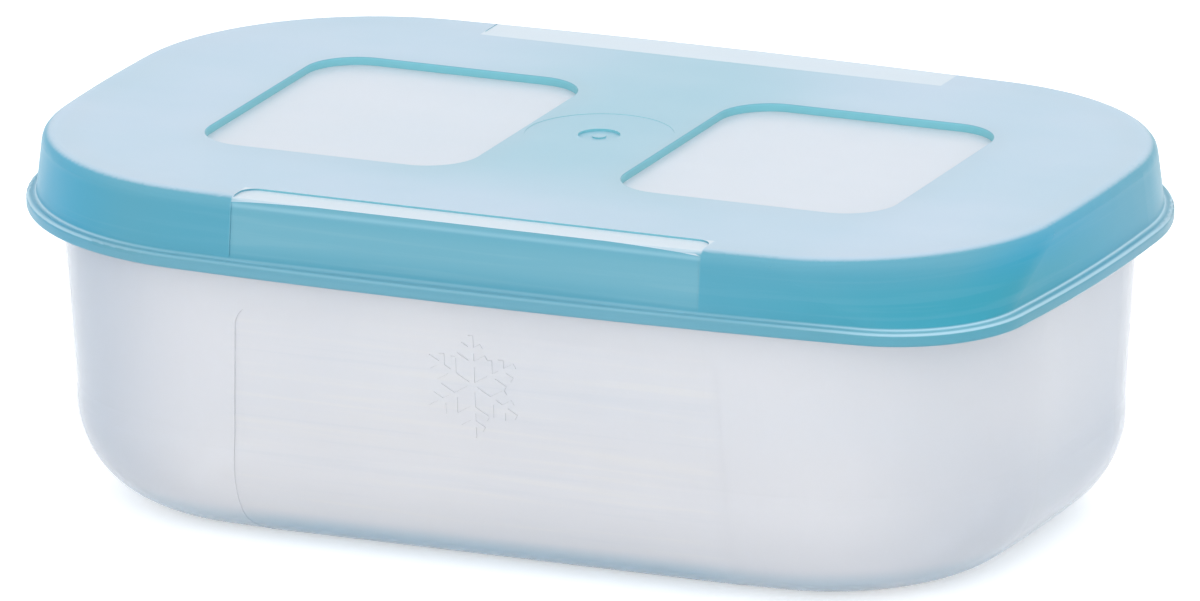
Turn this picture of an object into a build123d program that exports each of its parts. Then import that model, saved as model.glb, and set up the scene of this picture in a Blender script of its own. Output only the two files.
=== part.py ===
from build123d import *
from math import cos, radians, sin, sqrt, tan
import os

# Snap-lid freezer storage box, in millimetres.
# Frame: origin at the centre of the base, +X along the long side, -Y the front, +Z up.
# Pieces: a translucent tub, a lid with a flared lip, and two panes under the lid's openings.

# ---- overall size ----
LID_LENGTH = 180.0
LID_WIDTH = 117.0
OVERALL_HEIGHT = 60.4
LID_HEIGHT = 12.4
LIP_BOTTOM = OVERALL_HEIGHT - LID_HEIGHT

# ---- plan outline of the lip: four shallow arcs with rounded corners ----
LONG_SIDE_BOW = 4.7
SHORT_SIDE_BOW = 4.9
CORNER_RADIUS = 43.0
TAB_CORNER_RADIUS = 22.0
TAB_STEPS = 5
FLAT_HALF = 40.0

# ---- tub ----
WALL = 1.3
FLOOR = 1.6
FOOT_INSET = 7.6
BASE_RADIUS = 17.0
KINK_HEIGHT = 19.6
WALL_DRAFT = 3.9
PANEL_RECESS = 0.3
PANEL_CENTRE = 0.8
PANEL_TOP = 41.8
PANEL_FOOT = 0.9
PANEL_HALF_TOP = 41.4
PANEL_HALF_FOOT = 43.3
PANEL_CORNER = 4.0
BEAD_LOW = LIP_BOTTOM + 3.6
BEAD_HEIGHT = 2.2
BEAD_INSET = 4.4
BEAD_DRAWBACK = 0.8
FOOT_RING = 5.0
FOOT_RECESS = 0.5
FOOT_GATE_RADIUS = 2.0
FOOT_GATE_HEIGHT = 0.3

# ---- snowflake relief on the front panel ----
FLAKE_CENTRE_DROP = 15.7
FLAKE_RADIUS = 8.6
FLAKE_LINE = 0.9
FLAKE_RELIEF = 0.15
FLAKE_ARMS = 6
FLAKE_BRANCH_AT = (3.6, 5.9)
FLAKE_BRANCH_LENGTH = (3.0, 2.1)
FLAKE_BRANCH_ANGLE = 60.0

# ---- lid ----
PLATE = 1.35
SKIRT_WALL = 1.3
SKIRT_FOOT_INSET = 1.65
SKIRT_DRAFT = 6.7
TOP_EDGE_RADIUS = 2.0
INNER_EDGE_RADIUS = 0.5
LIP_HEIGHT = 2.2
LIP_TOP_RADIUS = 0.8
LIP_FOOT_RADIUS = 0.5
COVE_RADIUS = 0.6
COVE_STEPS = 3
FACET_CENTRE = 0.8
FACET_HALF = 40.3
FACET_RECESS = 0.2
FACET_EDGE_RADIUS = 1.3
FRONT_LEDGE_DROP = 0.3
FRONT_LEDGE_START = 49.1
BACK_LEDGE_DROP = 0.1
BACK_LEDGE_START = 46.5
BACK_LEDGE_CENTRE = -0.9
LEDGE_CORNER = 2.6
SNAP_LOW = LIP_BOTTOM + 1.0
SNAP_HEIGHT = 2.0
SNAP_INSET = 4.05
SNAP_DRAWBACK = 1.7
PLUG_INSET = 7.35
PLUG_WALL = 1.1
PLUG_DEPTH = 5.0
PLUG_DRAFT = 1.5

# ---- window openings and panes ----
WINDOW_LENGTH = 46.6
WINDOW_WIDTH = 54.8
WINDOW_CENTRE = 36.1
WINDOW_CORNER = 8.5
WINDOW_EDGE = 0.25
PANE_THICKNESS = 1.2
PANE_LAP = 2.2
PANE_GAP = 0.1
PANE_EDGE = 0.3
FRAME_RIB = 0.9
FRAME_RIB_HEIGHT = 1.6

# ---- centre gate mark on the lid ----
DISC_RADIUS = 12.0
DISC_RELIEF = 0.06
DIMPLE_RADIUS = 3.4
DIMPLE_DEPTH = 0.5
GATE_STUB_RADIUS = 1.1

# ---- values that follow from the ones above ----
HALF_LENGTH = LID_LENGTH / 2
HALF_WIDTH = LID_WIDTH / 2
LONG_SIDE_RADIUS = (HALF_LENGTH**2 + LONG_SIDE_BOW**2) / (2 * LONG_SIDE_BOW)
SHORT_SIDE_RADIUS = (HALF_WIDTH**2 + SHORT_SIDE_BOW**2) / (2 * SHORT_SIDE_BOW)
NECK_INSET = FOOT_INSET - (LIP_BOTTOM - KINK_HEIGHT) * tan(radians(WALL_DRAFT))
LIP_TOP = LIP_BOTTOM + LIP_HEIGHT
SKIRT_FOOT = LIP_TOP + COVE_RADIUS
PLATE_UNDERSIDE = OVERALL_HEIGHT - PLATE
RIM_TOP = PLATE_UNDERSIDE
CLEAR = 1.0

os.makedirs("parts", exist_ok=True)


def plan_outline(height, inset, tab=0):
    """The bowed rectangle at a height, drawn inset from the lip's outer edge.

    The tab is 0 without a pull tab and 1 where it is fully drawn out.
    """
    tab_radius = CORNER_RADIUS - tab * (CORNER_RADIUS - TAB_CORNER_RADIUS)
    long_centre = HALF_WIDTH - LONG_SIDE_RADIUS
    short_centre = HALF_LENGTH - SHORT_SIDE_RADIUS
    with BuildSketch(Plane.XY.offset(height)) as outline:
        with Locations((0, long_centre)):
            Circle(LONG_SIDE_RADIUS - inset)
        with Locations((0, -long_centre)):
            Circle(LONG_SIDE_RADIUS - inset, mode=Mode.INTERSECT)
        with Locations((short_centre, 0)):
            Circle(SHORT_SIDE_RADIUS - inset, mode=Mode.INTERSECT)
        with Locations((-short_centre, 0)):
            Circle(SHORT_SIDE_RADIUS - inset, mode=Mode.INTERSECT)
        corners = outline.vertices()
        tab_corner = corners.group_by(Axis.X)[-1].sort_by(Axis.Y)[0]
        for corner in corners:
            radius = tab_radius if corner is tab_corner else CORNER_RADIUS
            fillet(outline.vertices().sort_by_distance(corner)[0], radius - inset)
    return outline.sketch


def chord_reach(inset):
    """Distance from the centre plane to the flat of an outline, where the flat meets the bow."""
    radius = LONG_SIDE_RADIUS - inset
    return sqrt(radius**2 - FLAT_HALF**2) + HALF_WIDTH - LONG_SIDE_RADIUS


def front_flat_profile(levels, base_radius):
    """The end view with the front drawn in to its flat, from (height, inset) pairs, lowest first."""
    front = [(-chord_reach(inset), height) for height, inset in levels]
    top, bottom = levels[-1][0], levels[0][0]
    with BuildSketch(Plane.YZ) as profile:
        with BuildLine():
            Polyline(*front, (HALF_WIDTH, top), (HALF_WIDTH, bottom), close=True)
        make_face()
        if base_radius:
            front_foot = profile.vertices().sort_by_distance((0, front[0][0], bottom))[0]
            fillet(front_foot, base_radius)
    return profile.sketch


def tab_share(height):
    """How far the pull tab is drawn out at a height: 1 up to the skirt's foot, 0 at the lid's top."""
    return min(1, (OVERALL_HEIGHT - height) / (OVERALL_HEIGHT - SKIRT_FOOT))


def drafted_block(levels, base_radius=0, top_radius=0, tab=False):
    """A solid block through (height, inset) pairs, lowest first, with a flat front."""
    with BuildPart() as block:
        for (low, low_inset), (high, high_inset) in zip(levels, levels[1:]):
            if low_inset == high_inset:
                extrude(plan_outline(low, low_inset), amount=high - low)
            else:
                lower = plan_outline(low, low_inset, tab_share(low) if tab else 0)
                upper = plan_outline(high, high_inset, tab_share(high) if tab else 0)
                loft([lower, upper], ruled=True)
        if base_radius:
            fillet(block.faces().sort_by(Axis.Z)[0].edges(), base_radius)
        if top_radius:
            fillet(block.faces().sort_by(Axis.Z)[-1].edges(), top_radius)
        extrude(front_flat_profile(levels, base_radius), amount=HALF_LENGTH, both=True, mode=Mode.INTERSECT)
    return block.part


def tub_form(inset, floor, top):
    """The tub's shape drawn inset from its skin: rounded base, drafted wall, straight neck."""
    levels = [
        (floor, FOOT_INSET + inset),
        (KINK_HEIGHT, FOOT_INSET + inset),
        (LIP_BOTTOM, NECK_INSET + inset),
        (top, NECK_INSET + inset),
    ]
    return drafted_block(levels, base_radius=BASE_RADIUS - inset)


def skirt_inset(height):
    """Inset of the skirt's outer face from the lip's edge at a height."""
    return SKIRT_FOOT_INSET + (height - SKIRT_FOOT) * tan(radians(SKIRT_DRAFT))


def skirt_form(inset, foot, top, edge_radius=0, tab=False):
    """The lid's shape drawn inset from its skirt, between two heights, in steps where the tab flares."""
    steps = TAB_STEPS if tab else 1
    heights = [foot + (top - foot) * step / steps for step in range(steps + 1)]
    levels = [(height, skirt_inset(height) + inset) for height in heights]
    return drafted_block(levels, top_radius=edge_radius, tab=tab)


def ridge_block(low, height, inset, drawback):
    """A slice of the plan whose edge comes to an inset at mid height and draws back above and below."""
    return drafted_block([
        (low, inset + drawback),
        (low + height / 2, inset),
        (low + height, inset + drawback),
    ])


def front_facet_cutter():
    """The space outside the front facet and over the ledge behind its top edge."""
    ledge_height = OVERALL_HEIGHT - FRONT_LEDGE_DROP
    facet_foot = chord_reach(skirt_inset(LIP_TOP)) - FACET_RECESS
    facet_top = chord_reach(skirt_inset(ledge_height)) - FACET_RECESS
    above = OVERALL_HEIGHT + CLEAR
    with BuildPart() as cutter:
        with BuildSketch(Plane.YZ.offset(FACET_CENTRE)) as profile:
            with BuildLine():
                Polyline(
                    (-FRONT_LEDGE_START, ledge_height),
                    (-facet_top, ledge_height),
                    (-facet_foot, LIP_TOP),
                    (-HALF_WIDTH, LIP_TOP),
                    (-HALF_WIDTH, above),
                    (-FRONT_LEDGE_START, above),
                    close=True,
                )
            make_face()
            facet_edge = profile.vertices().sort_by_distance((FACET_CENTRE, -facet_top, ledge_height))[0]
            fillet(facet_edge, FACET_EDGE_RADIUS)
        extrude(amount=FACET_HALF, both=True)
        inner_corners = cutter.edges().filter_by(Axis.Z).group_by(Axis.Y)[-1]
        fillet(inner_corners, LEDGE_CORNER)
    return cutter.part


def back_ledge_cutter():
    """The space over the shallow ledge along the back of the plate."""
    with BuildPart() as cutter:
        with BuildSketch(Plane.XY.offset(OVERALL_HEIGHT - BACK_LEDGE_DROP)) as ledge:
            with Locations((BACK_LEDGE_CENTRE, BACK_LEDGE_START)):
                Rectangle(2 * FACET_HALF, HALF_WIDTH, align=(Align.CENTER, Align.MIN))
            fillet(ledge.vertices().group_by(Axis.Y)[0], LEDGE_CORNER)
        extrude(amount=CLEAR)
    return cutter.part


def lip_block():
    """The solid lip all round, with its pull tab at the front right and the cove up to the skirt's foot."""
    with BuildPart() as lip:
        extrude(plan_outline(LIP_BOTTOM, 0, tab=1), amount=LIP_HEIGHT)
        rims = lip.faces().filter_by(Axis.Z).sort_by(Axis.Z)
        fillet(rims[-1].edges(), LIP_TOP_RADIUS)
        fillet(lip.faces().filter_by(Axis.Z).sort_by(Axis.Z)[0].edges(), LIP_FOOT_RADIUS)
        turns = [radians(90 * step / COVE_STEPS) for step in range(COVE_STEPS + 1)]
        cove = [
            plan_outline(
                SKIRT_FOOT - COVE_RADIUS * cos(turn),
                SKIRT_FOOT_INSET - COVE_RADIUS * (1 - sin(turn)),
                tab=1,
            )
            for turn in turns
        ]
        for lower, upper in zip(cove, cove[1:]):
            loft([lower, upper], ruled=True)
    return lip.part


def tab_pocket():
    """The hollow under the pull tab, between its flared wall and the skirt's own wall."""
    with BuildPart() as pocket:
        add(skirt_form(SKIRT_WALL, LIP_BOTTOM, PLATE_UNDERSIDE, tab=True))
        add(skirt_form(0, LIP_BOTTOM, OVERALL_HEIGHT), mode=Mode.SUBTRACT)
    return pocket.part


def snap_ring():
    """The ridge inside the skirt's foot that passes the tub's bead."""
    middle_of_wall = skirt_inset(SNAP_LOW) + SKIRT_WALL / 2
    outer = [(SNAP_LOW, middle_of_wall), (SNAP_LOW + SNAP_HEIGHT, middle_of_wall)]
    with BuildPart() as ring:
        add(drafted_block(outer))
        add(ridge_block(SNAP_LOW, SNAP_HEIGHT, SNAP_INSET, -SNAP_DRAWBACK), mode=Mode.SUBTRACT)
    return ring.part


def plug_block(inset):
    """The solid plug under the lid's plate, drawn inset from its outer face."""
    taper_in = PLUG_DEPTH * tan(radians(PLUG_DRAFT))
    foot = PLUG_INSET + inset + taper_in
    return drafted_block([(PLATE_UNDERSIDE - PLUG_DEPTH, foot), (PLATE_UNDERSIDE, PLUG_INSET + inset)])


def plug_ring():
    """The thin ring under the lid's plate that sits just inside the tub's mouth."""
    with BuildPart() as ring:
        add(plug_block(0))
        add(plug_block(PLUG_WALL), mode=Mode.SUBTRACT)
    return ring.part


def window_outline(side, growth):
    """One window's rounded rectangle, grown all round; -1 is the left window, +1 the right."""
    with BuildSketch() as outline:
        with Locations((side * WINDOW_CENTRE, 0)):
            RectangleRounded(WINDOW_LENGTH + 2 * growth, WINDOW_WIDTH + 2 * growth, WINDOW_CORNER + growth)
    return outline.sketch


def snowflake():
    """Six arms with two pairs of branches each, the usual sign for frozen food."""
    with BuildSketch() as flake:
        with PolarLocations(0, FLAKE_ARMS, start_angle=360 / FLAKE_ARMS / 2):
            Rectangle(FLAKE_RADIUS, FLAKE_LINE, align=(Align.MIN, Align.CENTER))
        for distance, length in zip(FLAKE_BRANCH_AT, FLAKE_BRANCH_LENGTH):
            with PolarLocations(distance, FLAKE_ARMS, start_angle=360 / FLAKE_ARMS / 2):
                for turn in (-FLAKE_BRANCH_ANGLE, FLAKE_BRANCH_ANGLE):
                    Rectangle(length, FLAKE_LINE, rotation=turn, align=(Align.MIN, Align.CENTER))
    return flake.sketch


def panel_cutter(side):
    """The thin layer taken off one long side of the tub for its panel: -1 is the front, +1 the back.

    It thins out to nothing where the wall turns under the tub.
    """
    left, right = PANEL_CENTRE - PANEL_HALF_TOP, PANEL_CENTRE + PANEL_HALF_TOP
    foot_left, foot_right = PANEL_CENTRE - PANEL_HALF_FOOT, PANEL_CENTRE + PANEL_HALF_FOOT
    with BuildPart() as cutter:
        with BuildSketch(Plane.XZ) as outline:
            with BuildLine():
                Polyline(
                    (left, PANEL_TOP), (right, PANEL_TOP), (foot_right, PANEL_FOOT), (foot_left, PANEL_FOOT),
                    close=True,
                )
            make_face()
            fillet(outline.vertices().group_by(Axis.Z)[-1], PANEL_CORNER)
        extrude(amount=-side * HALF_WIDTH)
        add(tub_form(PANEL_RECESS, 0, RIM_TOP), mode=Mode.SUBTRACT)
    return cutter.part


def front_wall_plane():
    """The plane in the middle of the front wall, its Y axis running up the draft from the lip's level."""
    lean = radians(WALL_DRAFT)
    return Plane(
        origin=(0, -chord_reach(NECK_INSET + WALL / 2), LIP_BOTTOM),
        x_dir=(1, 0, 0),
        z_dir=(0, -cos(lean), -sin(lean)),
    )


# ---- tub ----
with BuildPart() as box_body:
    add(tub_form(0, 0, RIM_TOP))
    add(ridge_block(BEAD_LOW, BEAD_HEIGHT, BEAD_INSET, BEAD_DRAWBACK))
    add(tub_form(WALL, FLOOR, RIM_TOP + CLEAR), mode=Mode.SUBTRACT)
    for side in (-1, 1):
        add(panel_cutter(side), mode=Mode.SUBTRACT)

    with BuildSketch(front_wall_plane()):
        with Locations((0, -FLAKE_CENTRE_DROP)):
            add(snowflake())
    extrude(amount=WALL / 2 - PANEL_RECESS + FLAKE_RELIEF)

    extrude(plan_outline(0, FOOT_INSET + BASE_RADIUS + FOOT_RING), amount=FOOT_RECESS, mode=Mode.SUBTRACT)
    with Locations((0, 0, FOOT_RECESS)):
        Cylinder(FOOT_GATE_RADIUS, FOOT_GATE_HEIGHT, align=(Align.CENTER, Align.CENTER, Align.MAX))
box_body.part.label = "box_body"
export_step(box_body.part, "parts/box_body.step")


# ---- lid ----
with BuildPart() as lid:
    add(skirt_form(0, SKIRT_FOOT, OVERALL_HEIGHT, TOP_EDGE_RADIUS, tab=True))
    add(lip_block())
    add(front_facet_cutter(), mode=Mode.SUBTRACT)
    add(back_ledge_cutter(), mode=Mode.SUBTRACT)
    add(tab_pocket(), mode=Mode.SUBTRACT)
    add(skirt_form(SKIRT_WALL, LIP_BOTTOM, PLATE_UNDERSIDE, INNER_EDGE_RADIUS), mode=Mode.SUBTRACT)
    add(snap_ring())
    add(plug_ring())

    for side in (-1, 1):
        with BuildSketch(Plane.XY.offset(OVERALL_HEIGHT)):
            add(window_outline(side, 0))
        extrude(amount=-PLATE, mode=Mode.SUBTRACT)
        opening_edges = lid.edges(Select.LAST).group_by(Axis.Z)[-1]
        fillet(opening_edges, WINDOW_EDGE)

        with BuildSketch(Plane.XY.offset(PLATE_UNDERSIDE)):
            add(window_outline(side, PANE_LAP + PANE_GAP + FRAME_RIB))
            add(window_outline(side, PANE_LAP + PANE_GAP), mode=Mode.SUBTRACT)
        extrude(amount=-FRAME_RIB_HEIGHT)

    with Locations((0, 0, OVERALL_HEIGHT)):
        for radius, depth in ((DISC_RADIUS, DISC_RELIEF), (DIMPLE_RADIUS, DIMPLE_DEPTH)):
            Cylinder(radius, depth, align=(Align.CENTER, Align.CENTER, Align.MAX), mode=Mode.SUBTRACT)
    with Locations((0, 0, OVERALL_HEIGHT - DIMPLE_DEPTH)):
        Cylinder(GATE_STUB_RADIUS, DIMPLE_DEPTH / 2, align=(Align.CENTER, Align.CENTER, Align.MIN))
lid.part.label = "lid"
export_step(lid.part, "parts/lid.step")


# ---- the two panes bonded under the lid's plate ----
for name, side in (("window_left", -1), ("window_right", 1)):
    with BuildPart() as window:
        with BuildSketch(Plane.XY.offset(PLATE_UNDERSIDE)):
            add(window_outline(side, PANE_LAP))
        extrude(amount=-PANE_THICKNESS)
        fillet(window.faces().sort_by(Axis.Z)[0].edges(), PANE_EDGE)
    window.part.label = name
    export_step(window.part, f"parts/{name}.step")
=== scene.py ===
# %% [markdown]
# # A snap-lid freezer box
# A translucent tub, a blue-green lid that snaps over it, and two paler panes in the lid. The construction
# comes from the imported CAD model, where every moulded detail has its real size. Blender gives each
# plastic its finish, and adds the room: a pale table, soft lamps and a camera.

from math import cos, radians, sin

import bpy
from mathutils import Matrix, Vector

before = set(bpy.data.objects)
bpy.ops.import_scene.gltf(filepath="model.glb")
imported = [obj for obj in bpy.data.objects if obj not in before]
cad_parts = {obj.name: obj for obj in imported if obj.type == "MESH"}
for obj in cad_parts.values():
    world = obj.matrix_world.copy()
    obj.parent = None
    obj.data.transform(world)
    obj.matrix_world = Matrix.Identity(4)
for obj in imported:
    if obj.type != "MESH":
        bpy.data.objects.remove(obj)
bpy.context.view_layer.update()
scene = bpy.context.scene
scene.view_settings.view_transform = "Standard"

# %% [markdown]
# ## Camera
# The box is seen from about four metres away through a long lens, so its edges run almost parallel. A
# camera can be dragged into place by hand, but a view is easier to read and to change when it is given by
# the direction it looks from, a roll and a distance, so this one is placed by those.

# %% Camera
VIEW_AZIMUTH = radians(23.67)
VIEW_ELEVATION = radians(16.3)
VIEW_ROLL = radians(-0.4)
VIEW_DISTANCE = 4.24848
VIEW_CENTRE = Vector((0.00106, -0.00254, 0.03362))
LENS = 800.0
FARTHEST_SEEN = 4 * VIEW_DISTANCE


def viewing_axes(azimuth, elevation, roll):
    """Right, up and back vectors: back points at the camera, right is level, up is back cross right."""
    back = Vector((sin(azimuth) * cos(elevation), -cos(azimuth) * cos(elevation), sin(elevation)))
    right = Vector((cos(azimuth), sin(azimuth), 0))
    up = back.cross(right)
    # The roll turns right and up about back.
    rolled_right = cos(roll) * right + sin(roll) * up
    rolled_up = -sin(roll) * right + cos(roll) * up
    return rolled_right, rolled_up, back


def add_camera():
    """A camera at VIEW_DISTANCE from VIEW_CENTRE, looking at it."""
    right, up, back = viewing_axes(VIEW_AZIMUTH, VIEW_ELEVATION, VIEW_ROLL)
    turn = Matrix((right, up, back)).transposed().to_4x4()
    camera_data = bpy.data.cameras.new("camera")
    camera_data.lens = LENS
    camera_data.clip_end = FARTHEST_SEEN
    camera = bpy.data.objects.new("camera", camera_data)
    camera.matrix_world = Matrix.Translation(VIEW_CENTRE + VIEW_DISTANCE * back) @ turn
    scene.collection.objects.link(camera)
    scene.camera = camera
    return camera


camera = add_camera()
print("camera at", [round(value, 3) for value in camera.location], "lens", LENS)


# %% [markdown]
# ## Node helpers
# A finish is a small graph of nodes. It could be drawn by hand in the shader editor, but in code each
# step has a name and can be used again. These helpers start a material, add any kind of node and do
# arithmetic.

# %% Node helpers
def feed(tree, socket, value):
    """Links another node's output to the socket, or sets the socket to a plain value."""
    if isinstance(value, bpy.types.NodeSocket):
        tree.links.new(value, socket)
    else:
        socket.default_value = value


def add_node(tree, kind, inputs=None, **settings):
    """A shader node with its settings; each input takes a plain value or another node's output."""
    node = tree.nodes.new("ShaderNode" + kind)
    for setting, value in settings.items():
        setattr(node, setting, value)
    for socket, value in (inputs or {}).items():
        feed(tree, node.inputs[socket], value)
    return node


def calculate(tree, operation, *values):
    """The output of one Math node."""
    return add_node(tree, "Math", dict(enumerate(values)), operation=operation).outputs[0]


def new_material(name):
    """An empty node material and its output node."""
    material = bpy.data.materials.new(name)
    material.use_nodes = True
    material.node_tree.nodes.clear()
    return material, add_node(material.node_tree, "OutputMaterial")


print("node helpers ready")

# %% [markdown]
# ## Table and light
# Translucent plastic takes its look from what stands behind it, so the room is plain white all round. A
# small bright lamp would give hard shadows and glare, so two large, weak softboxes do the shading, and
# gloss doesn't mirror them. The table is a matt sheet. Only for the rays by which the eye sees it,
# straight, off gloss or through plastic, is it lifted to full white. So it joins the room and still keeps
# a soft shadow.

# %% World
ROOM_LIGHT = 1.0
WHITE = (1.0, 1.0, 1.0, 1.0)


def light_the_room():
    """A plain white world of strength 1, in which a colour renders as it is written."""
    world = bpy.data.worlds.new("white_room")
    world.use_nodes = True
    background = world.node_tree.nodes["Background"]
    background.inputs["Color"].default_value = WHITE
    background.inputs["Strength"].default_value = ROOM_LIGHT
    scene.world = world


light_the_room()
print("room light", ROOM_LIGHT)

# %% Lamps
# Of each lamp: its place and its size in metres, and its power in watts.
LAMPS = {
    "front_softbox": ((0.5, -1.7, 0.5), (1.6, 1.0), 8.2),
    "overhead_softbox": ((0.2, 0.5, 1.5), (1.4, 0.9), 3.0),
}


def add_lamp(name, place, size, power):
    """A rectangular softbox that faces the box and that gloss doesn't mirror."""
    lamp_data = bpy.data.lights.new(name, "AREA")
    lamp_data.shape = "RECTANGLE"
    lamp_data.size, lamp_data.size_y = size
    lamp_data.energy = power
    lamp = bpy.data.objects.new(name, lamp_data)
    lamp.location = place
    lamp.visible_glossy = False
    aim = VIEW_CENTRE - Vector(place)
    lamp.rotation_euler = aim.to_track_quat("-Z", "Y").to_euler()
    scene.collection.objects.link(lamp)


for lamp_name, (place, size, power) in LAMPS.items():
    add_lamp(lamp_name, place, size, power)
print("lamps", list(LAMPS))

# %% Table
TABLE_SIZE = 6.0
TABLE_COLOUR = (0.86, 0.87, 0.88, 1.0)
TABLE_LIFT = 0.50


def seen_by_the_eye(tree):
    """1 for rays that reach the camera, straight, off gloss or through plastic, 0 for rays that light."""
    path = add_node(tree, "LightPath").outputs
    straight_or_gloss = calculate(tree, "MAXIMUM", path["Is Camera Ray"], path["Is Glossy Ray"])
    return calculate(tree, "MAXIMUM", straight_or_gloss, path["Is Transmission Ray"])


def table_paper():
    """Matt white plus a glow of TABLE_LIFT where the eye sees it, so that only the shadow shows."""
    material, output = new_material("table_paper")
    tree = material.node_tree
    matt = add_node(tree, "BsdfDiffuse", {"Color": TABLE_COLOUR})
    lift = calculate(tree, "MULTIPLY", seen_by_the_eye(tree), TABLE_LIFT)
    glow = add_node(tree, "Emission", {"Strength": lift})
    both = add_node(tree, "AddShader", {0: matt.outputs[0], 1: glow.outputs[0]})
    tree.links.new(both.outputs[0], output.inputs["Surface"])
    return material


def add_table():
    """One flat square sheet under the box."""
    half = TABLE_SIZE / 2
    corners = [(-half, -half, 0), (half, -half, 0), (half, half, 0), (-half, half, 0)]
    mesh = bpy.data.meshes.new("table")
    mesh.from_pydata(corners, [], [(0, 1, 2, 3)])
    mesh.materials.append(table_paper())
    table = bpy.data.objects.new("table", mesh)
    scene.collection.objects.link(table)


add_table()
print("table", TABLE_SIZE, "m square")


# %% [markdown]
# ## Masks and layers
# A mask is a number from 0 to 1 that says how much of a finish there is at a spot. It could be painted as
# an image, but here it is worked out from the spot's own place on the piece, so it follows the moulded
# shapes and needs no picture. A colour is then laid over another by a mask. Every length is in metres
# from the middle of the box's foot, and a pair of lengths says where a mask is 0 and where it is 1.

# %% Masks
def rise(tree, value, start, end):
    """A smooth step, 3tt - 2ttt at the part t of the way from start to end; it may step down as well."""
    if start > end:
        return calculate(tree, "SUBTRACT", 1.0, rise(tree, value, end, start))
    limits = {"Value": value, "From Min": start, "From Max": end}
    return add_node(tree, "MapRange", limits, interpolation_type="SMOOTHSTEP").outputs["Result"]


def band(tree, value, low, high, softness):
    """1 between low and high, fading to 0 over a distance of softness at both ends."""
    into = rise(tree, value, low - softness / 2, low + softness / 2)
    out = rise(tree, value, high + softness / 2, high - softness / 2)
    return calculate(tree, "MULTIPLY", into, out)


def between(tree, mask, low, high):
    """A mask turned into a share: low where it is 0, high where it is 1."""
    return calculate(tree, "MULTIPLY_ADD", mask, high - low, low)


def overlap(tree, *masks):
    """The product of masks: 1 only where all of them are."""
    total = masks[0]
    for mask in masks[1:]:
        total = calculate(tree, "MULTIPLY", total, mask)
    return total


print("mask helpers ready")


# %% Layers
def colour(red, green, blue):
    """A linear colour with full alpha."""
    return (red, green, blue, 1.0)


def blend(tree, share, first, second):
    """Two colours mixed, the second one by the share."""
    node = add_node(tree, "Mix", data_type="RGBA")
    sockets = {socket.name: socket for socket in node.inputs if socket.enabled}
    feed(tree, sockets["Factor"], share)
    feed(tree, sockets["A"], first)
    feed(tree, sockets["B"], second)
    return next(socket for socket in node.outputs if socket.enabled)


def lay(tree, under, over, share, *masks):
    """The second colour laid over the first at a share of its strength, where all the masks are 1."""
    return blend(tree, calculate(tree, "MULTIPLY", overlap(tree, *masks), share), under, over)


print("layer helpers ready")

# %% [markdown]
# ## What all three plastics share
# The tub, the lid and the panes are injection moulded polypropylene. The melt runs in from one gate and
# freezes as it goes, so the wall is never quite even: it has slow clouds where it is a little thicker and
# faint lines along the flow. Its skin copies the mould, which is polished but not perfect, and handling
# leaves smudges and wipe marks. Each could be made anew in every material, but as two node groups they
# are built once, and all the pieces belong to one set.

# %% Group helpers
VECTOR, NUMBER = "NodeSocketVector", "NodeSocketFloat"


def new_group(name, inputs, outputs):
    """An empty shader node group with named sockets, and its input and output nodes."""
    group = bpy.data.node_groups.new(name, "ShaderNodeTree")
    for side, sockets in (("INPUT", inputs), ("OUTPUT", outputs)):
        for socket_name, kind in sockets.items():
            group.interface.new_socket(socket_name, in_out=side, socket_type=kind)
    return group, group.nodes.new("NodeGroupInput"), group.nodes.new("NodeGroupOutput")


def use_group(tree, group, inputs):
    """The outputs of a node that runs a group inside a material."""
    return add_node(tree, "Group", inputs, node_tree=group).outputs


def noise(tree, place, settings):
    """The values of a noise texture at a place, most of them between 0.3 and 0.7."""
    return add_node(tree, "TexNoise", {"Vector": place, **settings}).outputs["Fac"]


print("group helpers ready")

# %% Moulded clouds
CLOUD_NOISE = {"Scale": 26.0, "Detail": 3.0, "Roughness": 0.45}
CLOUD_VALUES = (0.3, 0.7)
STREAM_STRETCH = (9.0, 9.0, 330.0)
STREAM_NOISE = {"Scale": 2.2, "Detail": 4.0, "Distortion": 0.35}
PALE_STREAM_VALUES = (0.50, 0.66)
DARK_STREAM_VALUES = (0.44, 0.34)


def moulded_clouds():
    """Clouds: slow noise of about 40 mm. Streams: noise 37 times as long along the wall as up it."""
    group, entry, leave = new_group(
        "moulded_clouds",
        {"Place": VECTOR},
        {"Clouds": NUMBER, "Streams": NUMBER, "Dark Streams": NUMBER},
    )
    place = entry.outputs["Place"]
    clouds = noise(group, place, CLOUD_NOISE)
    drawn_out = add_node(group, "Mapping", {"Vector": place, "Scale": STREAM_STRETCH}).outputs["Vector"]
    streams = noise(group, drawn_out, STREAM_NOISE)
    group.links.new(rise(group, clouds, *CLOUD_VALUES), leave.inputs["Clouds"])
    group.links.new(rise(group, streams, *PALE_STREAM_VALUES), leave.inputs["Streams"])
    group.links.new(rise(group, streams, *DARK_STREAM_VALUES), leave.inputs["Dark Streams"])
    return group


clouds_group = moulded_clouds()
print("group", clouds_group.name, "with", len(clouds_group.nodes), "nodes")

# %% Satin skin
GRAIN_NOISE = {"Scale": 2600.0, "Detail": 2.0}
SMUDGE_NOISE = {"Scale": 60.0, "Detail": 5.0}
WIPE_NOISE = {"Scale": 1.0, "Detail": 3.0}
WIPE_STRETCH = (16.0, 130.0, 130.0)
WIPE_TURN = (0.0, 0.0, radians(12))
USUAL_SUM = 1.0


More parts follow.
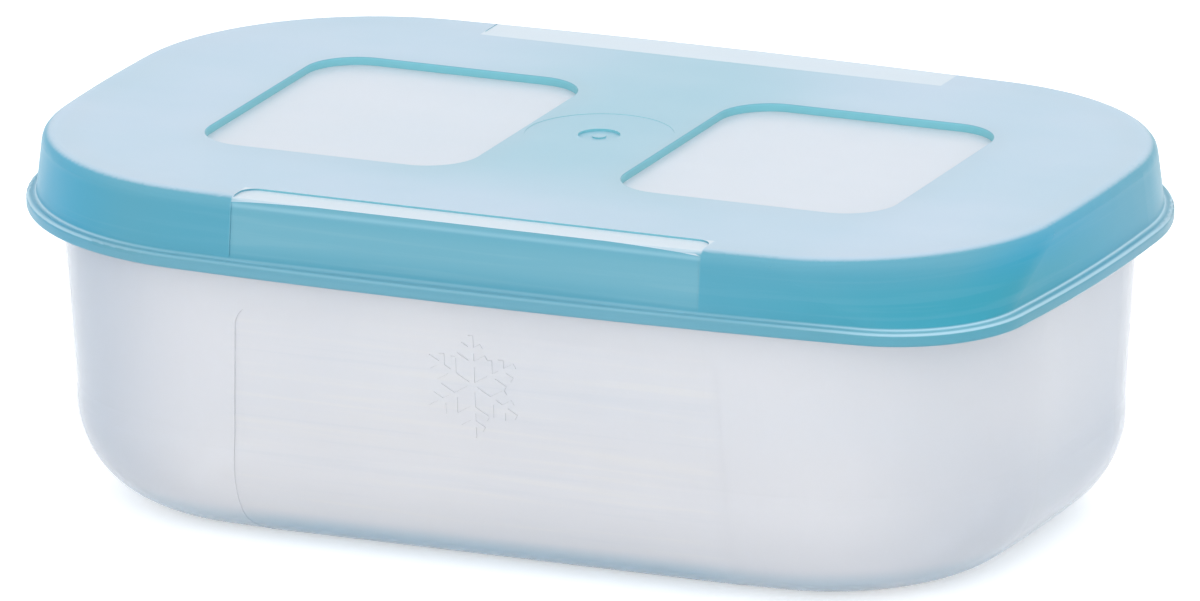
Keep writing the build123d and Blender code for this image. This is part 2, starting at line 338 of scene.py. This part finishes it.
def satin_skin():
    """Roughness: base plus spread times (smudges + wipes - their usual sum). Height: fine grain."""
    group, entry, leave = new_group(
        "satin_skin",
        {"Place": VECTOR, "Base Roughness": NUMBER, "Spread": NUMBER},
        {"Roughness": NUMBER, "Height": NUMBER},
    )
    place, base, spread = (entry.outputs[name] for name in ("Place", "Base Roughness", "Spread"))
    smudges = noise(group, place, SMUDGE_NOISE)
    turned = add_node(group, "Mapping", {"Vector": place, "Rotation": WIPE_TURN, "Scale": WIPE_STRETCH})
    wipes = noise(group, turned.outputs["Vector"], WIPE_NOISE)
    uneven = calculate(group, "SUBTRACT", calculate(group, "ADD", smudges, wipes), USUAL_SUM)
    group.links.new(calculate(group, "MULTIPLY_ADD", uneven, spread, base), leave.inputs["Roughness"])
    group.links.new(noise(group, place, GRAIN_NOISE), leave.inputs["Height"])
    return group


skin_group = satin_skin()
print("group", skin_group.name, "with", len(skin_group.nodes), "nodes")

# %% [markdown]
# ## One shader for moulded plastic
# Polypropylene is cloudy: part of the light goes through, part is scattered back, and the skin adds a
# soft gloss. True scattering inside so thin a wall would be slow and noisy, so one Principled shader
# stands for it. Transmission lets the far walls show through as soft shapes, the base colour gives the
# scattered part, and a thin coat gives the sharper shine of the moulded skin.

# %% Moulded plastic
PLASTIC_IOR = 1.49
GRAIN_HEIGHT = 0.000002
GRAIN_STRENGTH = 0.5


def moulded_plastic(name, finish):
    """A Principled material with satin skin; finish names its roughness, spread, gloss and the rest."""
    material, output = new_material(name)
    tree = material.node_tree
    place = add_node(tree, "TexCoord")
    skin_inputs = {
        "Place": place.outputs["Object"],
        "Base Roughness": finish["roughness"],
        "Spread": finish["spread"],
    }
    skin = use_group(tree, skin_group, skin_inputs)
    grain = {"Height": skin["Height"], "Strength": GRAIN_STRENGTH, "Distance": GRAIN_HEIGHT}
    shader_inputs = {
        "Roughness": skin["Roughness"],
        "Normal": add_node(tree, "Bump", grain).outputs["Normal"],
        "IOR": PLASTIC_IOR,
        "Specular IOR Level": finish["gloss"],
        "Transmission Weight": finish["transmission"],
        "Coat Weight": finish["coat"],
        "Coat Roughness": finish["coat_roughness"],
    }
    shader = add_node(tree, "BsdfPrincipled", shader_inputs)
    tree.links.new(shader.outputs[0], output.inputs["Surface"])
    return material, shader, place


print("moulded plastic bends light by", PLASTIC_IOR)


# %% Reading the surface
def read_surface(tree, place):
    """What masks are made from: the spot, its distance off the middle planes, and the clouds there."""
    spot = place.outputs["Object"]
    at = add_node(tree, "SeparateXYZ", {"Vector": spot}).outputs
    clouds = use_group(tree, clouds_group, {"Place": spot})
    return {
        "spot": spot,
        "x": at["X"],
        "y": at["Y"],
        "z": at["Z"],
        "off_x": calculate(tree, "ABSOLUTE", at["X"]),
        "off_y": calculate(tree, "ABSOLUTE", at["Y"]),
        "clouds": clouds["Clouds"],
        "streams": clouds["Streams"],
        "dark_streams": clouds["Dark Streams"],
    }


def dress(node_name, material):
    """Puts a material into the slots of a CAD node."""
    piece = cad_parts[node_name]
    for slot in piece.material_slots:
        slot.material = material
    print(node_name, "wears", material.name, "on", len(piece.data.polygons), "triangles")


print("surfaces can be read and dressed")

# %% [markdown]
# ## The tub
# Natural polypropylene, cloudy white with a trace of blue. One even colour would leave it flat, so the
# ends, which curve away, are darkened by a painted shade: the left one most by its corners, the right
# one low down and at the back.

# %% Tub wall
TUB_PALE = colour(0.96, 0.965, 1.0)
TUB_DEEP = colour(0.91, 0.925, 0.975)
# A painted shade laid over both ends of the tub.
TUB_END_SHADE = colour(0.63, 0.71, 0.82)
TUB_CLOUD_SHARE = 0.6
TUB_LEFT_END = (-0.044, -0.082)
TO_CORNER = (0.004, 0.040)
LEFT_END_SHARES = (0.5, 1.0)
TUB_RIGHT_END = (0.056, 0.086)
TO_BACK = (-0.030, 0.030)
RIGHT_END_SHARES = (0.20, 0.60)
LOW_DOWN = (0.032, 0.010)
LOW_SHARE = 0.25


def tub_wall(tree, here):
    """Pale, deeper by the clouds, then the ends' painted shade by the larger of the two ends' masks."""
    wall = lay(tree, TUB_PALE, TUB_DEEP, TUB_CLOUD_SHARE, here["clouds"])
    by_corner = between(tree, rise(tree, here["off_y"], *TO_CORNER), *LEFT_END_SHARES)
    left_end = overlap(tree, rise(tree, here["x"], *TUB_LEFT_END), by_corner)
    by_back = between(tree, rise(tree, here["y"], *TO_BACK), *RIGHT_END_SHARES)
    low_or_back = calculate(tree, "MULTIPLY_ADD", rise(tree, here["z"], *LOW_DOWN), LOW_SHARE, by_back)
    right_end = overlap(tree, rise(tree, here["x"], *TUB_RIGHT_END), low_or_back)
    return blend(tree, calculate(tree, "MAXIMUM", left_end, right_end), wall, TUB_END_SHADE)


print("tub ends deepen from x", TUB_LEFT_END[0], "and", TUB_RIGHT_END[0])

# %% [markdown]
# ### Painted reflections
# Faint streaks along the long walls are painted reflections of the tub's inner edges, some paler and
# some a little darker than the wall. Drawn lines would look ruled, so they are stretched noise, kept
# within the panels' width and at mid height.

# %% Tub streams
# Painted reflections of the inner edges: pale ones, then darker ones.
TUB_STREAK_REFLECTION = colour(1.0, 0.99, 0.985)
TUB_SHADE = colour(0.80, 0.85, 0.93)
PANEL_HALF = 0.0433
PANEL_SIDES = (PANEL_HALF + 0.001, PANEL_HALF - 0.004)
LONG_WALLS = (0.036, 0.040)
STREAM_HEIGHTS = (0.006, 0.040)
STREAM_FADE = 0.010
PALE_STREAM_SHARE = 0.5
DARK_STREAM_SHARE = 0.2


def add_painted_streaks(tree, here, wall):
    """Pale, then dark painted reflections, where panel width, long wall and mid height overlap."""
    in_panel = rise(tree, here["off_x"], *PANEL_SIDES)
    on_long_wall = rise(tree, here["off_y"], *LONG_WALLS)
    mid_height = band(tree, here["z"], *STREAM_HEIGHTS, STREAM_FADE)
    zone = overlap(tree, in_panel, on_long_wall, mid_height)
    wall = lay(tree, wall, TUB_STREAK_REFLECTION, PALE_STREAM_SHARE, zone, here["streams"])
    return lay(tree, wall, TUB_SHADE, DARK_STREAM_SHARE, zone, here["dark_streams"])


print("streams between", STREAM_HEIGHTS, "up the long walls")

# %% [markdown]
# ### Foot and gate
# The wall turns into the floor over a wide radius. Right at the foot one looks along the plastic instead
# of through it, and a band there is painted bluer as a painted shade, most of all below the panels. The
# band keeps to the walls: the floor inside stays white. In the middle of the floor the gate has left a
# small deep mark.

# %% Tub foot
# A painted shade in a band at the foot.
TUB_FOOT_SHADE = colour(0.40, 0.68, 0.87)
FOOT_BAND = (0.0072, 0.0026)
BY_LONG_WALL = (0.024, 0.040)
BY_END_WALL = (0.056, 0.072)
BELOW_PANEL = (PANEL_HALF + 0.003, PANEL_HALF - 0.010)
FOOT_SHARES = (0.50, 0.72)


def add_foot_shade(tree, here, wall):
    """The foot's painted shade where foot and wall overlap, at a share that grows below the panel."""
    foot = rise(tree, here["z"], *FOOT_BAND)
    by_long_wall = rise(tree, here["off_y"], *BY_LONG_WALL)
    by_end_wall = rise(tree, here["off_x"], *BY_END_WALL)
    by_wall = calculate(tree, "MAXIMUM", by_long_wall, by_end_wall)
    strength = between(tree, rise(tree, here["off_x"], *BELOW_PANEL), *FOOT_SHARES)
    return blend(tree, overlap(tree, foot, by_wall, strength), wall, TUB_FOOT_SHADE)


print("foot band up to", FOOT_BAND[0])

# %% Tub gate mark
TUB_GATE = colour(0.10, 0.28, 0.38)
GATE_EDGE = (0.0036, 0.0024)


def add_gate(tree, here, wall):
    """A deep mark where the spot's distance from the middle of the floor, seen from above, is short."""
    flat_spot = add_node(tree, "CombineXYZ", {"X": here["x"], "Y": here["y"]}).outputs["Vector"]
    from_gate = add_node(tree, "VectorMath", {0: flat_spot}, operation="LENGTH").outputs["Value"]
    return blend(tree, rise(tree, from_gate, *GATE_EDGE), wall, TUB_GATE)


print("gate mark of radius", sum(GATE_EDGE) / 2)

# %% Tub plastic
TUB_FINISH = {
    "roughness": 0.16,
    "spread": 0.10,
    "gloss": 0.18,
    "transmission": 0.45,
    "coat": 0.05,
    "coat_roughness": 0.12,
}


def tub_plastic():
    """The cloudy white wall, with streams, foot and gate laid over it in turn."""
    material, shader, place = moulded_plastic("tub_plastic", TUB_FINISH)
    tree = material.node_tree
    here = read_surface(tree, place)
    wall = tub_wall(tree, here)
    for add_layer in (add_painted_streaks, add_foot_shade, add_gate):
        wall = add_layer(tree, here, wall)
    tree.links.new(wall, shader.inputs["Base Color"])
    return material


dress("box_body", tub_plastic())

# %% [markdown]
# ## The lid
# The same plastic with a blue-green colour mixed in. It is one colour all through, yet it looks different
# from place to place, because its form and what lies behind it differ. A single colour would miss that,
# so each part of the form is a zone with painted light and shade of its own. The sloping skirt hangs
# free. It has its deepest painted shade where it flares to the pull tab, a bluer painted shade round
# both ends, most of all at the front, and a paler painted highlight at the shoulder where it turns into
# the plate.

# %% Lid skirt
LID_SKIRT = colour(0.092, 0.413, 0.560)
# Painted shade near the tab and at the ends; the pale colour is for painted highlights and streaks.
LID_TAB_SHADE = colour(0.032, 0.388, 0.525)
LID_END_SHADE = colour(0.008, 0.40, 0.63)
LID_HIGHLIGHT_AND_STREAK = colour(0.34, 0.66, 0.80)
LID_RIGHT_END = (0.078, 0.089)
LID_LEFT_END = (-0.056, -0.078)
TO_FRONT = (0.020, -0.025)
LID_END_SHARES = (0.2, 1.0)
TAB_PLACE = (0.082, -0.036, 0.050)
TAB_REACH = (0.054, 0.0)
BELOW_PLATE = (0.0590, 0.0530)
STREAK_SHARE = 0.06
SHOULDER_RISE = (0.0576, 0.0598)
SHOULDER_HIGHLIGHT_SHARE = 0.20


def lid_skirt(tree, here):
    """Blue-green, with painted shade at ends and tab, streaks, and a painted highlight at the shoulder.
    """
    right_end = rise(tree, here["x"], *LID_RIGHT_END)
    left_end = rise(tree, here["x"], *LID_LEFT_END)
    ends = calculate(tree, "MAXIMUM", right_end, left_end)
    by_front = between(tree, rise(tree, here["y"], *TO_FRONT), *LID_END_SHARES)
    skirt = blend(tree, overlap(tree, ends, by_front), LID_SKIRT, LID_END_SHADE)

    two_places = {0: here["spot"], 1: TAB_PLACE}
    from_tab = add_node(tree, "VectorMath", two_places, operation="DISTANCE").outputs["Value"]
    near_tab = overlap(tree, rise(tree, from_tab, *TAB_REACH), rise(tree, here["z"], *BELOW_PLATE))
    skirt = blend(tree, near_tab, skirt, LID_TAB_SHADE)
    # Pale streaks, then the shoulder's painted highlight.
    skirt = lay(tree, skirt, LID_HIGHLIGHT_AND_STREAK, STREAK_SHARE, here["streams"])
    return lay(tree, skirt, LID_HIGHLIGHT_AND_STREAK, SHOULDER_HIGHLIGHT_SHARE, rise(tree, here["z"], *SHOULDER_RISE))


print("skirt deepens within", TAB_REACH[0], "of the pull tab at", TAB_PLACE)

# %% [markdown]
# ### Plate and openings
# The plate is painted paler than the skirt, and palest away from its middle: a painted sheen and the
# painted light of the bright inside of the box below it. A mask of height alone would bleed over the
# shoulder, so a level face is asked for as well.
# The openings for the panes and the steps of the ledges leave upright walls only a millimetre high. They
# are painted bright and clear as painted light, for light that runs through the plate comes out there.

# %% Lid plate
# Painted sheen and light: the plate's colour and its paler colour outwards.
LID_PLATE = colour(0.41, 0.685, 0.82)
LID_PLATE_SHEEN = colour(0.605, 0.765, 0.92)
PLATE_TO_ENDS = (0.004, 0.042)
PLATE_TO_FRONT = (-0.015, -0.045)
OUTWARD_SHARE = 0.7
PLATE_CLOUD_SHARE = 0.3
PLATE_TILT = (0.72, 0.995)
PLATE_RISE = (0.0575, 0.0600)


def add_plate(tree, here, lid):
    """The plate's painted sheen where the face is level and high; it pales outwards and by the clouds."""
    to_ends = rise(tree, here["off_x"], *PLATE_TO_ENDS)
    to_front = rise(tree, here["y"], *PLATE_TO_FRONT)
    outward = calculate(tree, "MULTIPLY", calculate(tree, "MAXIMUM", to_ends, to_front), OUTWARD_SHARE)
    sheen_share = calculate(tree, "MULTIPLY_ADD", here["clouds"], PLATE_CLOUD_SHARE, outward)
    plate = blend(tree, sheen_share, LID_PLATE, LID_PLATE_SHEEN)
    on_top = overlap(tree, rise(tree, here["level"], *PLATE_TILT), rise(tree, here["z"], *PLATE_RISE))
    return blend(tree, on_top, lid, plate)


print("plate from", PLATE_RISE[0], "up")

# %% Lid cut walls
# Painted light on the upright cut walls.
LID_CUT_LIGHT = colour(0.27, 0.72, 0.82)
INBOARD_X = (0.066, 0.064)
INBOARD_Y = (0.0496, 0.0490)
UPRIGHT_TILT = (0.8, 0.3)
CUT_RISE = (0.0572, 0.0578)


def add_cut_walls(tree, here, lid):
    """A bright painted light on the upright walls of the plate that lie inboard of the skirt."""
    inboard_x = rise(tree, here["off_x"], *INBOARD_X)
    inboard_y = rise(tree, here["off_y"], *INBOARD_Y)
    upright = rise(tree, calculate(tree, "ABSOLUTE", here["level"]), *UPRIGHT_TILT)
    cut_wall = overlap(tree, inboard_x, inboard_y, upright, rise(tree, here["z"], *CUT_RISE))
    return blend(tree, cut_wall, lid, LID_CUT_LIGHT)


print("cut walls from", CUT_RISE[0], "up")

# %% [markdown]
# ### Facet and ledges
# The mould has an insert at the front and one at the back. What they shape is painted: the upright facet
# at the front with a painted reflection, a thin painted highlight as a brow along its top, and above it a
# ledge with a nearly white painted sheen. The back insert shapes a ledge alone. Both inserts are the same
# mask with other edges.

# %% Mould inserts
FRONT_STEP = -0.0491
BACK_STEP = 0.0465
LEDGE_HALF = 0.0403
FRONT_INSERT = {
    "centre": 0.0008,
    "sides": (LEDGE_HALF + 0.0003, LEDGE_HALF - 0.0001),
    "step": (FRONT_STEP + 0.0001, FRONT_STEP - 0.0001),
}
BACK_INSERT = {
    "centre": -0.0009,
    "sides": (LEDGE_HALF + 0.0002, LEDGE_HALF - 0.0002),
    "step": (BACK_STEP - 0.0001, BACK_STEP + 0.0001),
}


def insert_zone(tree, here, centre, sides, step):
    """Where an insert shaped the lid: within its width, taken from its centre, and outside its step."""
    off_centre = calculate(tree, "ABSOLUTE", calculate(tree, "SUBTRACT", here["x"], centre))
    return overlap(tree, rise(tree, off_centre, *sides), rise(tree, here["y"], *step))


print("inserts of half width", LEDGE_HALF, "beyond y", FRONT_STEP, "and", BACK_STEP)

# %% Lid facet
# Painted reflection on the facet; the brow below is a painted highlight.
LID_FACET_REFLECTION = colour(0.198, 0.505, 0.628)
FACET_FOOT = (0.0504, 0.0514)
FACET_TILT = (0.8, 0.5)
MID_FACET = (0.0525, 0.0578)
MID_FACET_FADE = 0.0030
FACET_REFLECTION_SHARES = (0.40, 0.78)
FACET_STREAK_SHARE = 0.2
BROW = (0.0587, 0.0593)
BROW_FADE = 0.0006
BROW_HIGHLIGHT_SHARE = 0.6


def add_facet(tree, here, lid):
    """A painted reflection on the facet, most at mid height and in streams, under a painted highlight
    brow.
    """
    insert = insert_zone(tree, here, **FRONT_INSERT)
    above_foot = rise(tree, here["z"], *FACET_FOOT)
    facet = overlap(tree, insert, above_foot, rise(tree, here["level"], *FACET_TILT))
    mid_share = between(tree, band(tree, here["z"], *MID_FACET, MID_FACET_FADE), *FACET_REFLECTION_SHARES)
    reflection_share = calculate(tree, "MULTIPLY_ADD", here["streams"], FACET_STREAK_SHARE, mid_share)
    lid = blend(tree, overlap(tree, facet, reflection_share), lid, LID_FACET_REFLECTION)
    return lay(tree, lid, LID_HIGHLIGHT_AND_STREAK, BROW_HIGHLIGHT_SHARE, facet, band(tree, here["z"], *BROW, BROW_FADE))


print("facet from", FACET_FOOT[0], "up, brow at", BROW)

# %% Lid ledges
# Painted sheen on the ledges.
LID_LEDGE_SHEEN = colour(0.78, 0.90, 1.0)
LEDGE_TILT = (0.55, 0.9)
LEDGE_RISE = (0.0588, 0.0598)


def add_ledges(tree, here, lid):
    """A nearly white painted sheen where an insert's zone, a level face and the plate's height overlap.
    """
    high = rise(tree, here["z"], *LEDGE_RISE)
    level = rise(tree, here["level"], *LEDGE_TILT)
    front = overlap(tree, insert_zone(tree, here, **FRONT_INSERT), high, level)
    back = overlap(tree, insert_zone(tree, here, **BACK_INSERT), high, level)
    return blend(tree, calculate(tree, "MAXIMUM", front, back), lid, LID_LEDGE_SHEEN)


print("ledges from", LEDGE_RISE[0], "up")

# %% [markdown]
# ### Lip
# The lip stands out round the skirt's foot. Below its top it is a little greyer, and the groove above it
# is painted paler, a painted light against the shade that falls in it. Two fine painted highlights run
# along the top edge, bright at the ends and all but gone along the middle. In so even a room gloss alone
# would draw no such lines, so their places are set by height and tilt.

# %% Lid lip
LID_LIP = colour(0.34, 0.44, 0.49)
LID_RIM_LIGHT = colour(0.55, 0.83, 0.98)
LIP_TOP = 0.0502
LIP_DROP = (LIP_TOP + 0.0002, LIP_TOP - 0.0005)
LIP_SHARE = 0.22
# Painted light in the groove above the lip.
LIP_BAND = (LIP_TOP - 0.0003, LIP_TOP + 0.0004)
LIP_BAND_FADE = 0.0004
GROOVE_LIGHT_SHARE = 0.45
# Two painted highlight lines along the lip's top edge.
OUTER_LINE = (LIP_TOP - 0.00040, LIP_TOP - 0.00008)
INNER_LINE = (LIP_TOP + 0.00008, LIP_TOP + 0.00040)
LINE_FADE = 0.00020
LINE_TILT = (0.12, 0.45)
LINE_TO_ENDS = (0.046, 0.082)
LINE_SHARES = (0.08, 0.83)


def add_lip(tree, here, lid):
    """Grey below the lip's top, a painted light band round it, and two painted highlights stronger at the
    ends.
    """
    lid = lay(tree, lid, LID_LIP, LIP_SHARE, rise(tree, here["z"], *LIP_DROP))
    lid = lay(tree, lid, LID_HIGHLIGHT_AND_STREAK, GROOVE_LIGHT_SHARE, band(tree, here["z"], *LIP_BAND, LIP_BAND_FADE))
    outer_line = band(tree, here["z"], *OUTER_LINE, LINE_FADE)
    inner_line = band(tree, here["z"], *INNER_LINE, LINE_FADE)
    lines = calculate(tree, "MAXIMUM", outer_line, inner_line)
    tilted = rise(tree, here["level"], *LINE_TILT)
    strength = between(tree, rise(tree, here["off_x"], *LINE_TO_ENDS), *LINE_SHARES)
    return blend(tree, overlap(tree, lines, tilted, strength), lid, LID_RIM_LIGHT)


print("lip lines round the height", LIP_TOP)

# %% Lid plastic
LID_FINISH = {
    "roughness": 0.36,
    "spread": 0.12,
    "gloss": 0.28,
    "transmission": 0.25,
    "coat": 0.10,
    "coat_roughness": 0.30,
}


def lid_plastic():
    """The blue-green skirt, with plate, cut walls, facet, ledges and lip laid over it in turn."""
    material, shader, place = moulded_plastic("lid_plastic", LID_FINISH)
    tree = material.node_tree
    here = read_surface(tree, place)
    here["level"] = add_node(tree, "SeparateXYZ", {"Vector": place.outputs["Normal"]}).outputs["Z"]
    lid = lid_skirt(tree, here)
    for add_layer in (add_plate, add_cut_walls, add_facet, add_ledges, add_lip):
        lid = add_layer(tree, here, lid)
    tree.links.new(lid, shader.inputs["Base Color"])
    return material


dress("lid", lid_plastic())

# %% [markdown]
# ## The panes
# Two thin plates without pigment, with a finer satin than the lid's. They are almost even in tone,
# because bright space lies on both sides of them, so two colours mixed by the clouds are enough. Both
# wear the same material.

# %% Pane plastic
PANE_PALE = colour(0.84, 0.91, 1.0)
PANE_DEEP = colour(0.80, 0.89, 0.985)
PANE_FINISH = {
    "roughness": 0.34,
    "spread": 0.10,
    "gloss": 0.4,
    "transmission": 0.35,
    "coat": 0.2,
    "coat_roughness": 0.2,
}


def pane_plastic():
    """Near-colourless, the deeper colour by the clouds."""
    material, shader, place = moulded_plastic("pane_plastic", PANE_FINISH)
    tree = material.node_tree
    clouds = use_group(tree, clouds_group, {"Place": place.outputs["Object"]})["Clouds"]
    tree.links.new(blend(tree, clouds, PANE_PALE, PANE_DEEP), shader.inputs["Base Color"])
    return material


clear_plastic = pane_plastic()
for pane_name in ("window_left", "window_right"):
    dress(pane_name, clear_plastic)
